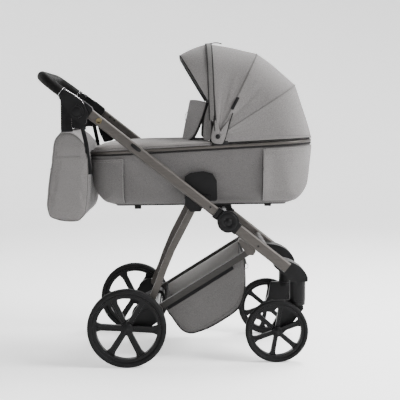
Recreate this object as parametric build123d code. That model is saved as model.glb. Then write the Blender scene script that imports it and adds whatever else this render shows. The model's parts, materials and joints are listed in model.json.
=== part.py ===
from build123d import *
import os
from math import atan2, cos, degrees, hypot, radians, sin

# A folding baby stroller with a carrycot, in millimetres.
# +X is the direction of travel, +Z is up, and the origin is on the floor below the middle.
# "left" is the +Y side. Every pair of side pieces is built on the left and mirrored.

# Wheels
REAR_R, REAR_WIDTH, REAR_X, REAR_Y = 140.0, 36.0, -177.0, 282.0
FRONT_R, FRONT_WIDTH, FRONT_X, FRONT_Y = 113.0, 34.0, 358.0, 217.0
SPOKES = 6
AXLE_R = 6.0
RUNNING = 0.05          # radial clearance of a pin that turns in its hole

# Pivots of the folding frame, as (x, z)
FOLD = (180.0, 514.0)        # upper frame on front chassis
LEG_TOP = (60.0, 566.0)      # rear leg under the upper tube
LINK_FRONT = (265.0, 402.0)  # lower side link on the front chassis
LINK_REAR = (-72.0, 190.0)   # lower side link on the rear axle tube
FOLD_ROD_R = 11.0
AXLE_TUBE_R = 12.0
LINK_PIN_R = 5.0

# Frame tubes: a flat oval section, outside the carrycot on each side
TUBE_ANGLE = -38.1           # slope of both tubes in the side view
TUBE_HIGH, TUBE_WIDE, TUBE_WALL = 36.0, 20.0, 2.0
TUBE_Y = 250.0
TUBE_TOP = (-300.0, 891.0)   # upper end of the upper tube
HUB_R = 38.0                 # black discs of the fold joint
UPPER_END, FRONT_START = 55.0, 45.0  # where the tubes stop on each side of the fold joint

# Handlebar
HANDLE_PIVOT = (-344.0, 900.0)
HANDLE_NECK = (-393.0, 962.0)
HANDLE_END = (-477.0, 1025.0)
HANDLE_Y = 245.0
GRIP_R = 18.0
GRIP_BEND = 85.0
BAG_PIN = (-386.0, 935.0)
BAG_PIN_R = 4.0

# Front caster
CASTER_X, CASTER_Y, CASTER_Z = 435.0, 188.0, 220.0
CASTER_PIN_R = 8.0

# Carrycot and hood
COT_HALF_Y = 205.0
COT_BACK, COT_FRONT = -318.0, 490.0
COT_WALL = 8.0
COT_CORNER = 140.0           # plan radius of the carrycot's ends
BAND_HIGH = 15.0
HOOD_PIVOT = (145.0, 812.0)
HOOD_R, HOOD_HALF_Y, HOOD_STEP, HOOD_CLOTH = 344.0, 208.0, 5.0, 3.0
HOOD_PIN_R = 11.95
APRON_END = 128.0


def rim_z(x):
    """Height of the carrycot's sloping rim."""
    return 774.5 + 0.058 * x


def plate(outline, low_y, high_y, corner=0.0):
    """A flat piece with this (x, z) outline between two Y planes."""
    edge = Polyline([(x, low_y, z) for x, z in outline], close=True)
    solid = extrude(make_face(edge), high_y - low_y, dir=(0, 1, 0))
    return fillet(solid.edges().filter_by(Axis.Y), corner) if corner else solid


def rod(centre, radius, low_y, high_y):
    """A cylinder across the stroller, about the (x, z) centre."""
    where = Plane(origin=(centre[0], low_y, centre[1]), z_dir=(0, 1, 0))
    return where * Cylinder(radius, high_y - low_y, align=(Align.CENTER, Align.CENTER, Align.MIN))


def along(start, distance, angle, up=0.0):
    """The (x, z) point at a distance along a direction, and up at right angles to it."""
    c, s = cos(radians(angle)), sin(radians(angle))
    return start[0] + distance * c - up * s, start[1] + distance * s + up * c


def bar(start, end, high, low_y, high_y):
    """A straight flat bar between two (x, z) points."""
    angle = degrees(atan2(end[1] - start[1], end[0] - start[0]))
    length = hypot(end[0] - start[0], end[1] - start[1])
    corners = [along(start, d, angle, u) for d, u in
               ((0, -high / 2), (length, -high / 2), (length, high / 2), (0, high / 2))]
    return plate(corners, low_y, high_y)


def strap(points, high, low_y, high_y):
    """A bar with round ends and joints that follows several (x, z) points."""
    solid = rod(points[0], high / 2, low_y, high_y)
    for start, end in zip(points, points[1:]):
        solid += bar(start, end, high, low_y, high_y) + rod(end, high / 2, low_y, high_y)
    return solid


def oval_tube(start, end, high, wide, centre_y):
    """A hollow flat-oval tube between two (x, z) points."""
    angle = atan2(end[1] - start[1], end[0] - start[0])
    where = Plane(origin=(start[0], centre_y, start[1]), x_dir=(0, 1, 0), z_dir=(cos(angle), 0, sin(angle)))
    length = hypot(end[0] - start[0], end[1] - start[1])
    outer = RectangleRounded(wide, high, wide * 0.49)
    inner = RectangleRounded(wide - 2 * TUBE_WALL, high - 2 * TUBE_WALL, wide * 0.49 - TUBE_WALL)
    return extrude(where * (outer - inner), length)


def save(name, solid):
    export_step(solid, f"parts/{name}.step")


def save_pair(name, solid):
    """Writes a left piece and its mirror image on the right."""
    save(f"{name}_left", solid)
    save(f"{name}_right", mirror(solid, Plane.XZ))


def across(length, radius, centre, wall=TUBE_WALL):
    """A hollow round tube centred across the stroller."""
    return rod(centre, radius, -length / 2, length / 2) - rod(centre, radius - wall, -length, length)


# ---------------------------------------------------------------- wheels

def wheel(radius, width, turn, spoke_wide):
    """A tyre and a six-spoke rim about Z, with +Z outboard."""
    rim_r = radius - 0.14 * radius
    ring = 0.085 * radius
    section = Pos((radius + rim_r) / 2, 0) * RectangleRounded(radius - rim_r, width, 0.45 * (radius - rim_r))
    tyre = revolve(Plane.XZ * section, Axis.Z)
    rim = Cylinder(rim_r, 0.72 * width) - Cylinder(rim_r - ring, width)
    tyre -= Cylinder(rim_r, width)
    hub = Cylinder(0.15 * radius, 0.8 * width) + Pos(0, 0, 0.42 * width) * Cylinder(0.11 * radius, 4)
    for n in range(SPOKES):
        reach = rim_r - ring / 2
        spoke = Polygon((0, -0.45 * spoke_wide), (reach * 0.8, -0.5 * spoke_wide), (reach, -0.85 * spoke_wide),
                        (reach, 0.85 * spoke_wide), (reach * 0.8, 0.5 * spoke_wide), (0, 0.45 * spoke_wide),
                        align=None)
        groove = Pos(rim_r * 0.55, 0, 0.2 * width) * Box(rim_r * 0.66, 0.5 * spoke_wide, 0.16 * width)
        blade = extrude(spoke, 0.2 * width, both=True) - groove
        rim += Rot(0, 0, turn + n * 360 / SPOKES) * blade
    rim += hub
    rim -= Cylinder(AXLE_R + RUNNING, 3 * width)
    return tyre, rim


def place_wheel(name, radius, width, x, y, turn, spoke_wide):
    tyre, rim = wheel(radius, width, turn, spoke_wide)
    where = Pos(x, y, radius) * Rot(-90, 0, 0)
    save_pair(f"{name}_tyre", where * tyre)
    save_pair(f"{name}_rim", where * rim)


# ---------------------------------------------------------------- front chassis

def front_tube():
    start = along(FOLD, FRONT_START, TUBE_ANGLE)
    return oval_tube(start, along(FOLD, 269, TUBE_ANGLE), TUBE_HIGH + 4, TUBE_WIDE, TUBE_Y)


def front_elbow():
    """The casting that carries the caster: an arm inside the tube's end and an upright barrel."""
    arm = plate([(348, 376), (380, 374), (402, 369), (422, 360), (442, 347), (457, 330), (466, 312),
                 (466, 296), (407, 296), (386, 316), (345, 350)], 160, TUBE_Y - TUBE_WIDE / 2, 6)
    barrel_high = 96.0
    where = Plane(origin=(CASTER_X, CASTER_Y, CASTER_Z))
    barrel = where * Cylinder(29, barrel_high, align=(Align.CENTER, Align.CENTER, Align.MIN))
    bore = where * Cylinder(CASTER_PIN_R + RUNNING, 72, align=(Align.CENTER, Align.CENTER, Align.MIN))
    return arm + barrel - bore


def fold_hub_outer():
    """The outboard disc of the fold joint, with the socket of the front tube."""
    disc = rod(FOLD, HUB_R, TUBE_Y, TUBE_Y + 18)
    arm = bar(along(FOLD, 10, TUBE_ANGLE), along(FOLD, FRONT_START, TUBE_ANGLE), 44, TUBE_Y, TUBE_Y + 14)
    inner = along(FOLD, HUB_R + 2, TUBE_ANGLE)
    socket = bar(inner, along(FOLD, FRONT_START, TUBE_ANGLE), 44, TUBE_Y - 14, TUBE_Y + 14)
    return disc + arm + socket - rod(FOLD, FOLD_ROD_R, 0, TUBE_Y + 8)


def link_bracket():
    """The lug under the front tube that holds the lower side link."""
    cheek = plate([(212, 458), (258, 428), (282, 404), (274, 388), (252, 388), (226, 424)], 203, 215, 5)
    block = plate([(222, 452), (262, 424), (252, 412), (216, 440)], 215, TUBE_Y - TUBE_WIDE / 2)
    return cheek + block + rod(LINK_FRONT, LINK_PIN_R, 182, 203)


# ---------------------------------------------------------------- upper frame

def upper_tube():
    return oval_tube(TUBE_TOP, along(FOLD, -UPPER_END, TUBE_ANGLE), TUBE_HIGH, TUBE_WIDE, TUBE_Y)


def fold_hub_inner():
    """The inboard disc of the fold joint, with the socket of the upper tube."""
    disc = rod(FOLD, HUB_R, TUBE_Y - 18, TUBE_Y - 0.4)
    arm = bar(along(FOLD, -10, TUBE_ANGLE), along(FOLD, -UPPER_END, TUBE_ANGLE), 42, TUBE_Y - 14, TUBE_Y - 0.4)
    inner = along(FOLD, -HUB_R - 4, TUBE_ANGLE)
    socket = bar(inner, along(FOLD, -UPPER_END, TUBE_ANGLE), 42, TUBE_Y - 14, TUBE_Y + 13)
    return disc + arm + socket - rod(FOLD, FOLD_ROD_R + RUNNING, 0, 400)


def leg_bracket():
    """The lug on the upper tube that the rear leg hangs from. Its pin is loose in the leg."""
    lug = plate([(30, 612), (92, 566), (84, 548), (48, 548), (28, 572)], 231, TUBE_Y - TUBE_WIDE / 2, 6)
    return lug + rod(LEG_TOP, LINK_PIN_R, 214, 231)


def cot_adapter():
    """The arched plate that the carrycot drops onto."""
    arch = plate([(27, 586), (27, 672), (48, 684), (94, 690), (126, 682), (141, 656), (143, 584)],
                 COT_HALF_Y + 4, 221, 9)
    foot = plate([(86, 574), (86, 604), (116, 604), (116, 574)], 221, TUBE_Y - TUBE_WIDE / 2)
    return arch + foot


def handle_housing():
    """The fixed half of the handle joint, on the upper end of the tube."""
    corners = [along(TUBE_TOP, d, TUBE_ANGLE, u) for d, u in ((-62, -42), (0, -42), (0, 22), (-62, 22))]
    body = plate(corners, 226, 260, 14)
    return body + rod(HANDLE_PIVOT, 9, 260, 268)


# ---------------------------------------------------------------- handlebar

def handle_hub():
    """The moving half of the handle joint, outboard of the fixed half."""
    cheek = plate([(-404, 945), (-382, 976), (-324, 935), (-306, 893), (-315, 850), (-363, 879)], 261, 277, 9)
    angle = degrees(atan2(HANDLE_NECK[1] - HANDLE_PIVOT[1], HANDLE_NECK[0] - HANDLE_PIVOT[0]))
    neck = bar(along(HANDLE_PIVOT, 60, angle), along(HANDLE_PIVOT, 76, angle), 40, 227, 270)
    pin = rod(BAG_PIN, BAG_PIN_R, 212, 262)
    pocket = rod(HANDLE_PIVOT, 23.3, 271, 280)
    return cheek + neck + pin - pocket - rod(HANDLE_PIVOT, 9 + RUNNING, 255, 271) - handle_ring()


def handle_path(start_at=0.0):
    """The line of the U-shaped handle, from the left neck round to the right."""
    angle = degrees(atan2(HANDLE_END[1] - HANDLE_NECK[1], HANDLE_END[0] - HANDLE_NECK[0]))
    x, z = along(HANDLE_NECK, start_at, angle)
    return FilletPolyline([(x, HANDLE_Y, z), (HANDLE_END[0], HANDLE_Y, HANDLE_END[1]),
                           (HANDLE_END[0], -HANDLE_Y, HANDLE_END[1]), (x, -HANDLE_Y, z)], radius=GRIP_BEND)


def handle_grip():
    path = handle_path(12.0)
    return sweep(Plane(origin=path @ 0, z_dir=path % 0) * Circle(GRIP_R), path)


def handle_ring():
    """The bright collar between the joint and the grip."""
    path = handle_path()
    where = Plane(origin=path @ 0, z_dir=path % 0)
    return where * Pos(0, 0, -2) * Cylinder(GRIP_R + 1.5, 14, align=(Align.CENTER, Align.CENTER, Align.MIN))


def handle_button():
    return rod(HANDLE_PIVOT, 23, 275.4, 284)


# ---------------------------------------------------------------- bag

BAG_HALF_Y = 213.5
BAG_GAP = 10.0               # between the bag and the carrycot's end


def bag_body():
    side = plate([(-350, 506), (-326, 532), (-317, 580), (-312, 640), (-311, 695), (-316, 742), (-327, 786),
                  (-346, 814), (-370, 832), (-411, 834), (-432, 808), (-441, 750), (-449, 689), (-458, 625),
                  (-463, 561), (-455, 522), (-418, 509)], -BAG_HALF_Y, BAG_HALF_Y, 6)
    front = Polyline([(-600, y, z) for y, z in ((-204, 490), (204, 490), (BAG_HALF_Y, 560), (BAG_HALF_Y, 790),
                                                (190, 840), (-190, 840), (-BAG_HALF_Y, 790), (-BAG_HALF_Y, 560))],
                     close=True)
    return side & extrude(make_face(front), 400, dir=(1, 0, 0)) - cot_plan(BAG_GAP)


def bag_strap():
    outline = [(-408, 812), (-408, 932), (-396, 947), (-376, 947), (-366, 932), (-366, 812)]
    tab = plate(outline, BAG_HALF_Y + 0.5, BAG_HALF_Y + 4)
    return tab - rod(BAG_PIN, BAG_PIN_R + RUNNING, 200, 230)


# ---------------------------------------------------------------- lower frame

def link_tube():
    """The lower side link, with an eye round the rear axle tube."""
    link = strap([LINK_FRONT, LINK_REAR], 22, 182, 200) + rod(LINK_REAR, 18, 182, 200)
    return link - rod(LINK_FRONT, LINK_PIN_R + RUNNING, 100, 220) - rod(LINK_REAR, AXLE_TUBE_R + RUNNING, 100, 220)


def basket_form(inset):
    """The sling's side outline, drawn in by the cloth's thickness."""
    return plate([(-44 + inset, 420), (-44 + inset, 195), (-22 + inset, 160), (2 + inset, 118 + inset),
                  (22, 100 + inset), (52, 94 + inset), (110, 113 + inset), (178, 152 + inset),
                  (222 - inset, 187), (242 - inset, 232), (248 - inset, 268), (246 - inset, 330),
                  (242 - inset, 460)], -178 + inset, 178 - inset)


def basket():
    shell = basket_form(0) - basket_form(4)
    above = plate([(-100, 196), (300, 448), (300, 600), (-100, 600)], -300, 300)
    return shell - above


def rear_leg():
    leg = strap([LEG_TOP, (-19, 412), (-49, 340), (-68, 286), (-98, 214), LINK_REAR], 24, 212.5, 229.5)
    leg += rod(LINK_REAR, 20, 212.5, 229.5)
    return leg - rod(LEG_TOP, LINK_PIN_R + 3, 100, 300) - rod(LINK_REAR, AXLE_TUBE_R, 100, 300)


def suspension_arm():
    """The sprung arm and its round housing, with the stub axle of the rear wheel."""
    axle = (REAR_X, REAR_R)
    arm = strap([LINK_REAR, (-116, 176), axle], 40, 232, 254) + rod((-118, 178), 44, 232, 252)
    return arm + rod(axle, AXLE_R, 254, 300) - rod(LINK_REAR, AXLE_TUBE_R + RUNNING, 100, 300)


def brake_pedal():
    pedal = plate([(-88, 186), (-150, 168), (-196, 176), (-196, 182), (-150, 176), (-88, 204)], 60, 130)
    sleeve = rod(LINK_REAR, 19, 60, 130)
    return pedal + sleeve - rod(LINK_REAR, AXLE_TUBE_R + RUNNING, 0, 200)


# ---------------------------------------------------------------- front fork

def front_fork():
    """A one-sided fork: a round top under the elbow and a trailing leg inside the wheel."""
    where = Plane(origin=(CASTER_X, CASTER_Y, CASTER_Z - 15))
    top = where * Cylinder(28, 14.2, align=(Align.CENTER, Align.CENTER, Align.MIN))
    pin = where * Cylinder(CASTER_PIN_R, 84, align=(Align.CENTER, Align.CENTER, Align.MIN))
    leg = plate([(372, 219), (452, 219), (458, 188), (426, 146), (400, 112), (380, 94), (344, 100),
                 (342, 122), (362, 160)], 173, 192, 6)
    inner_face = FRONT_Y - FRONT_WIDTH / 2
    wheel_room = rod((FRONT_X, FRONT_R), FRONT_R + 3, inner_face - 3, 300)
    return leg + top + pin - wheel_room + rod((FRONT_X, FRONT_R), AXLE_R, 190, inner_face + FRONT_WIDTH)


# ---------------------------------------------------------------- carrycot

def cot_plan(grow):
    """The carrycot's plan outline as a tall prism."""
    length = COT_FRONT - COT_BACK + 2 * grow
    middle = (COT_FRONT + COT_BACK) / 2
    sketch = RectangleRounded(length, 2 * (COT_HALF_Y + grow), COT_CORNER + grow)
    return Pos(middle, 0, 400) * extrude(sketch, 700)


def above_rim(lift):
    """Everything above the sloping rim, raised by lift."""
    return plate([(-500, rim_z(-500) + lift), (700, rim_z(700) + lift), (700, 1400), (-500, 1400)], -400, 400)


def cot_form(inset, floor):
    """The rounded trough of the carrycot, drawn in from its outside."""
    side = plate([(-325 + inset, 804), (-288 + inset, 560 + floor), (458 - inset, 568 + floor),
                  (497 - inset, 850)], -300, 300)
    side = fillet(side.edges().filter_by(Axis.Y).filter_by_position(Axis.Z, 550, 630), 95 - inset)
    low = 567 + floor
    trough = Polyline([(-600, y, z) for y, z in ((-190 + inset, low - 20), (190 - inset, low - 20),
                                                 (COT_HALF_Y + 7 - inset, 900), (-COT_HALF_Y - 7 + inset, 900))],
                      close=True)
    end = extrude(make_face(trough), 1400, dir=(1, 0, 0))
    end = fillet(end.edges().filter_by(Axis.X).filter_by_position(Axis.Z, 500, 600), 60)
    return side & end & cot_plan(-inset)


def cot_shell():
    return cot_form(0, 0) - cot_form(COT_WALL, 12) - above_rim(0)


def cot_band():
    """The tube-like band round the rim."""
    ring = cot_plan(3) - cot_plan(0)
    return ring - above_rim(0) - plate([(-500, 300), (700, 300), (700, rim_z(700) - BAND_HIGH),
                                        (-500, rim_z(-500) - BAND_HIGH)], -400, 400)


def mattress():
    top_z = 613
    slab = plate([(-300, 500), (-300, top_z), (500, top_z), (500, 500)], -220, 220)
    return slab & cot_form(COT_WALL + 2, 13)


def apron():
    """The padded cover over the foot end, slightly domed."""
    dome = plate([(-317, rim_z(-317) + 0.4), (APRON_END, rim_z(APRON_END) + 0.4), (APRON_END, 792),
                  (20, 794), (-120, 792), (-240, 784), (-298, 772), (-317, 762)], -204, 204)
    return dome & cot_plan(-1)


def flap_edge(middle_x, side_x, half_y, z):
    """The flap's curved section at one height."""
    thick = 5
    front = ThreePointArc((side_x, -half_y, z), (middle_x, 0, z), (side_x, half_y, z))
    back = ThreePointArc((side_x + thick, half_y, z), (middle_x + thick, 0, z), (side_x + thick, -half_y, z))
    ends = Line(front @ 1, back @ 0) + Line(back @ 1, front @ 0)
    return make_face(front + back + ends)


def wind_flap():
    """The stiffened flap that stands up near the apron's open end, bowed towards the foot."""
    return Solid.make_loft([flap_edge(25, 42, 172, 797).wire(), flap_edge(46, 100, 164, 934).wire()])


def cot_feet():
    feet = [Pos(x, y, z) * extrude(RectangleRounded(24, 26, 6), 18)
            for x, z in ((-143, 548), (330, 558)) for y in (-130, 130)]
    solid = Compound(children=[foot - cot_form(0, 0) for foot in feet])
    return solid


def hood_panel(level, start, stop, inner_r, outer_r):
    """A fan of cloth about the hood's pivot: a U-shaped section turned from start to stop degrees."""
    half = HOOD_HALF_Y - HOOD_STEP * level
    corner = 112.0
    c, s = cos(radians(start)), sin(radians(start))
    where = Plane(origin=(HOOD_PIVOT[0], 0, HOOD_PIVOT[1]), x_dir=(c, 0, s), z_dir=(-s, 0, c))

    def arch(reach, across_y, round_r, low):
        edge = Polyline([(low, -across_y), (reach, -across_y), (reach, across_y), (low, across_y)], close=True)
        face = make_face(edge)
        return fillet(face.vertices().filter_by_position(Axis.X, reach - 1, reach + 1), round_r)

    outer = arch(outer_r, half, corner, inner_r)
    inner = arch(outer_r - HOOD_CLOTH, half - HOOD_CLOTH, corner - HOOD_CLOTH, inner_r - 5)
    pivot = Axis((HOOD_PIVOT[0], 0, HOOD_PIVOT[1]), (0, -1, 0))
    return revolve(where * (outer - inner), pivot, stop - start)


def hood_pivot():
    """The round stud that the hood's ribs turn on."""
    return rod(HOOD_PIVOT, HOOD_PIN_R, 190, 210) + rod(HOOD_PIVOT, 15, 210, 214)


def build():
    os.makedirs("parts", exist_ok=True)

    place_wheel("rear", REAR_R, REAR_WIDTH, REAR_X, REAR_Y, 3, 23)
    place_wheel("front", FRONT_R, FRONT_WIDTH, FRONT_X, FRONT_Y, -20, 17)

    save_pair("front_tube", front_tube())
    save_pair("front_elbow", front_elbow())
    save_pair("fold_hub_outer", fold_hub_outer())
    save_pair("link_bracket", link_bracket())
    save("fold_rod", across(2 * (TUBE_Y + 8), FOLD_ROD_R, FOLD))
    save("front_crossbar", across(2 * 240, 12, (322, 402)))

    save_pair("upper_tube", upper_tube())
    save_pair("fold_hub_inner", fold_hub_inner())
    save_pair("leg_bracket", leg_bracket())
    save_pair("cot_adapter", cot_adapter())
    save_pair("handle_housing", handle_housing())
    save_pair("handle_hub", handle_hub())
    save("handle_grip", handle_grip())
    ring = handle_ring()
    save("handle_rings", Compound(children=[ring, mirror(ring, Plane.XZ)]))
    save_pair("handle_button", handle_button())

    save("bag_body", bag_body())
    save_pair("bag_strap", bag_strap())

    save_pair("link_tube", link_tube())
    save("basket", basket())
    save_pair("rear_leg", rear_leg())
    save("rear_axle_tube", across(2 * 256, AXLE_TUBE_R, LINK_REAR))
    save_pair("suspension_arm", suspension_arm())
    save("brake_pedal", brake_pedal())
    save_pair("front_fork", front_fork())

    save("cot_shell", cot_shell())
    save("cot_band", cot_band())
    save("cot_feet", cot_feet())
    save("mattress", mattress())
    save("apron", apron())
    save("wind_flap", wind_flap())
    save_pair("hood_pivot", hood_pivot())
    save("hood_rear", hood_panel(0, 0.5, 33, 12, HOOD_R))
    save("hood_middle", hood_panel(1, 33.4, 64, 12, HOOD_R - HOOD_STEP))
    save("hood_front", hood_panel(2, 64.4, 96, 12, HOOD_R - 2 * HOOD_STEP))
    save("hood_visor", hood_panel(2, 96, 114, 139, HOOD_R - 24))


build()
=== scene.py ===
"""The soft goods, finishes, floor, light and camera of a baby stroller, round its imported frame. Metres."""
import json
from math import atan2, cos, degrees, hypot, pi, radians, sin

import bpy
import numpy as np
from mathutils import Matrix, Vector, noise
from mathutils.bvhtree import BVHTree


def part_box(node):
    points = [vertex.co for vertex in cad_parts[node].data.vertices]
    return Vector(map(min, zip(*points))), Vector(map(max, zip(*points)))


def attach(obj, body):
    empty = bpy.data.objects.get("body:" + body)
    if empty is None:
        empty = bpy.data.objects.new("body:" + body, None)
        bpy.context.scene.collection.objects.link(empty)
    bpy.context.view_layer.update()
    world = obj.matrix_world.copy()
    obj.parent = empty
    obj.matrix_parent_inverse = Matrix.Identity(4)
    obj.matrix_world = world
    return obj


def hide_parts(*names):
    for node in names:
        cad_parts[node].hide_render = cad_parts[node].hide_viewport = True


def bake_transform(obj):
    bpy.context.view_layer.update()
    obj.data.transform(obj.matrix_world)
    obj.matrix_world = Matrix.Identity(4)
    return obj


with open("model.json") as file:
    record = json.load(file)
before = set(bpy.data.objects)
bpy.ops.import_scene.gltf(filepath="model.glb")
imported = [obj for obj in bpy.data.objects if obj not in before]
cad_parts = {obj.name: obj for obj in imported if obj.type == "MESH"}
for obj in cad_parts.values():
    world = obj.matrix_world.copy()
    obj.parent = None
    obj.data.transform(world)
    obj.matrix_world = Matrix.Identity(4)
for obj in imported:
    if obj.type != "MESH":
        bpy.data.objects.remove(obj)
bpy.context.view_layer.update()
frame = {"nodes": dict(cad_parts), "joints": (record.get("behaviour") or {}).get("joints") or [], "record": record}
SIDES = (("left", 1.0), ("right", -1.0))
# Ways that a sweep's section can point; upright is a little off, so that it never lies along a path
AWAY, UPRIGHT = (0, 1, 0), (0.02, 0.01, 1)

# Places taken from the frame
JOINT = {j["name"]: j for j in frame["joints"]}


def pivot(joint):
    """The (x, z) point that a joint turns about."""
    x, _, z = JOINT[joint]["pos_m"]
    return np.array((x, z))


HOOD_PIVOT = pivot("hood_middle_fold")
FOLD = pivot("fold")
HANDLE = pivot("handle_tilt")
COT_LOW, COT_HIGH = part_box("cot_shell")
BAG_LOW, BAG_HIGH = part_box("bag_body")
TUBE_LOW, TUBE_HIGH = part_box("upper_tube_left")
RIM_HEIGHT, RIM_SLOPE = 0.7745, 0.058


def rim_z(x):
    """Height of the carrycot's sloping rim."""
    return RIM_HEIGHT + RIM_SLOPE * x


# ---- materials

class Nodes:
    """A material's node tree, with short names for what is used most."""

    def __init__(self, name, colour, roughness, **sockets):
        self.material = bpy.data.materials.new(name)
        self.material.use_nodes = True
        self.tree = self.material.node_tree
        self.shader = self.tree.nodes["Principled BSDF"]
        self.shader.inputs["Base Color"].default_value = (*colour, 1)
        self.shader.inputs["Roughness"].default_value = roughness
        for key, value in sockets.items():
            self.shader.inputs[key.replace("_", " ")].default_value = value
        self.where = self.add("ShaderNodeTexCoord").outputs["Object"]

    def add(self, kind, inputs=(), **settings):
        node = self.tree.nodes.new(kind)
        for key, value in settings.items():
            setattr(node, key, value)
        for key, value in dict(inputs).items():
            if isinstance(value, bpy.types.NodeSocket):
                self.tree.links.new(value, node.inputs[key])
            else:
                node.inputs[key].default_value = value
        return node

    def noise(self, scale, detail=3.0, stretch=(1, 1, 1)):
        at = self.add("ShaderNodeMapping", {"Vector": self.where, "Scale": stretch}).outputs[0]
        return self.add("ShaderNodeTexNoise", {"Vector": at, "Scale": scale, "Detail": detail}).outputs["Fac"]

    def threads(self, scale, direction, turn=0.0):
        at = self.add("ShaderNodeMapping", {"Vector": self.where, "Rotation": (0, turn, 0)}).outputs[0]
        return self.add("ShaderNodeTexWave", {"Vector": at, "Scale": scale, "Distortion": 1.2, "Detail": 1.0,
            "Detail Scale": 2.0}, bands_direction=direction).outputs["Fac"]

    def mix(self, a, b, factor):
        """Colour a where the factor is 0 and b where it is 1."""
        colours = {slot: c if isinstance(c, bpy.types.NodeSocket) else (*c, 1) for slot, c in ((6, a), (7, b))}
        return self.add("ShaderNodeMix", {0: factor, **colours}, data_type="RGBA").outputs[2]

    def math(self, operation, a, b=0.0, c=0.0):
        return self.add("ShaderNodeMath", enumerate((a, b, c)), operation=operation).outputs[0]

    def ramp(self, factor, low, high):
        return self.add("ShaderNodeMapRange", {"Value": factor, "From Min": low, "From Max": high}).outputs[0]

    def colour(self, socket):
        self.tree.links.new(socket, self.shader.inputs["Base Color"])

    def rough(self, socket):
        self.tree.links.new(socket, self.shader.inputs["Roughness"])

    def bump(self, height, strength, distance):
        node = self.add("ShaderNodeBump", {"Height": height, "Strength": strength, "Distance": distance})
        self.tree.links.new(node.outputs[0], self.shader.inputs["Normal"])


def tint(colour, factor):
    """A colour made darker or lighter."""
    return [c * factor for c in colour]


def fabric(name, light, dark, thread=900.0, sheen=0.12, relief=0.0005):
    """A plain weave of two-tone yarn: crossed threads, slubs and a soft uneven tone."""
    n = Nodes(name, light, 0.93, Sheen_Weight=sheen, Sheen_Roughness=0.45)
    slub = n.noise(950.0, 2.0, (1.0, 1.0, 0.35))
    cross = n.noise(950.0, 2.0, (0.35, 0.35, 1.0))
    yarn = n.ramp(n.math("MULTIPLY", n.math("ADD", slub, cross), 0.5), 0.36, 0.64)
    tone = n.mix(dark, light, yarn)
    cloud = n.ramp(n.noise(9.0, 3.0), 0.3, 0.7)
    n.colour(n.mix(tint(light, 0.86), tone, n.ramp(cloud, -1.6, 0.6)))
    across = n.math("MAXIMUM", n.threads(thread, "X"), n.threads(thread, "Y"))
    weave = n.math("MULTIPLY", n.threads(thread, "Z"), across)
    n.bump(n.math("ADD", weave, n.math("MULTIPLY", slub, 1.4)), 0.55, relief)
    return n.material


def webbing(name, colour):
    """Ribbed strap or piping."""
    n = Nodes(name, colour, 0.85, Sheen_Weight=0.04, Specular_IOR_Level=0.15)
    rib = n.threads(620.0, "Z", 0.6)
    n.colour(n.mix(tint(colour, 0.55), tint(colour, 1.5), rib))
    n.bump(n.math("ADD", rib, n.noise(900.0)), 0.6, 0.0006)
    return n.material


def leather(name, colour):
    """Grained black leatherette."""
    n = Nodes(name, colour, 0.5, Specular_IOR_Level=0.05)
    cells = n.add("ShaderNodeTexVoronoi", {"Vector": n.where, "Scale": 520.0},
        feature="DISTANCE_TO_EDGE").outputs[0]
    grain = n.ramp(cells, 0.0, 0.35)
    n.colour(n.mix(tint(colour, 0.6), tint(colour, 1.35), n.ramp(n.noise(60.0), 0.3, 0.7)))
    n.rough(n.ramp(n.noise(30.0), -0.6, 1.6))
    n.bump(grain, 0.5, 0.0006)
    return n.material


def anodised(name, colour):
    """Satin anodised aluminium with faint drawing lines and patchy roughness."""
    n = Nodes(name, colour, 0.36, Metallic=0.55, Specular_IOR_Level=0.35)
    streak = n.noise(140.0, 4.0, (0.12, 1.0, 1.0))
    n.colour(n.mix(tint(colour, 0.88), tint(colour, 1.12), n.ramp(streak, 0.3, 0.7)))
    n.rough(n.ramp(n.noise(24.0, 4.0), -0.9, 2.1))
    n.bump(n.math("ADD", streak, n.noise(1500.0)), 0.12, 0.0003)
    return n.material


def moulded(name, colour, roughness=0.5, grain=1400.0, relief=0.0004):
    """Moulded black plastic with a fine spark-eroded texture and slight scuffs."""
    n = Nodes(name, colour, roughness, Specular_IOR_Level=0.12)
    speck = n.noise(grain, 2.0)
    scuff = n.ramp(n.noise(18.0, 5.0), 0.45, 0.75)
    n.colour(n.mix(colour, [c * 1.7 + 0.001 for c in colour], scuff))
    n.rough(n.math("MULTIPLY_ADD", scuff, 0.14, roughness - 0.06))
    n.bump(speck, 0.35, relief)
    return n.material


def polished(name, colour, roughness=0.16):
    """Bright metal with fine handling marks."""
    n = Nodes(name, colour, roughness, Metallic=1.0)
    mark = n.noise(90.0, 6.0)
    n.rough(n.ramp(mark, -0.4, 3.6))
    n.bump(mark, 0.05, 0.0002)
    return n.material


GREY = (0.142, 0.135, 0.133)
GREY_DARK = (0.066, 0.062, 0.061)
CLOTH = fabric("melange_cloth", GREY, GREY_DARK)
# The same grey cloth made darker: painted shade for the carrycot's wall
CLOTH_PAINTED_SHADE = fabric("melange_cloth_side", tint(GREY, 0.62), tint(GREY_DARK, 0.62), sheen=0.06)
# A darker copy of the grey cloth: painted shade on the foot pocket, while the head pocket keeps the plain cloth
CLOTH_POCKET_PAINTED_SHADE = fabric("melange_cloth_pocket", tint(GREY, 0.72), tint(GREY_DARK, 0.72), sheen=0.06)
CLOTH_LIGHT = fabric("apron_cloth", (0.24, 0.225, 0.215), (0.13, 0.123, 0.119))
LINING = fabric("jersey_lining", (0.42, 0.41, 0.4), (0.31, 0.3, 0.29), thread=1500.0, relief=0.0003)
BASKET_CLOTH = fabric("basket_cloth", (0.088, 0.084, 0.082), (0.04, 0.038, 0.037))
WEB = webbing("black_webbing", (0.003, 0.003, 0.0033))
GRIP = leather("grip_leatherette", (0.004, 0.0038, 0.0038))
TAUPE = anodised("taupe_anodised", (0.046, 0.0415, 0.038))
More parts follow.
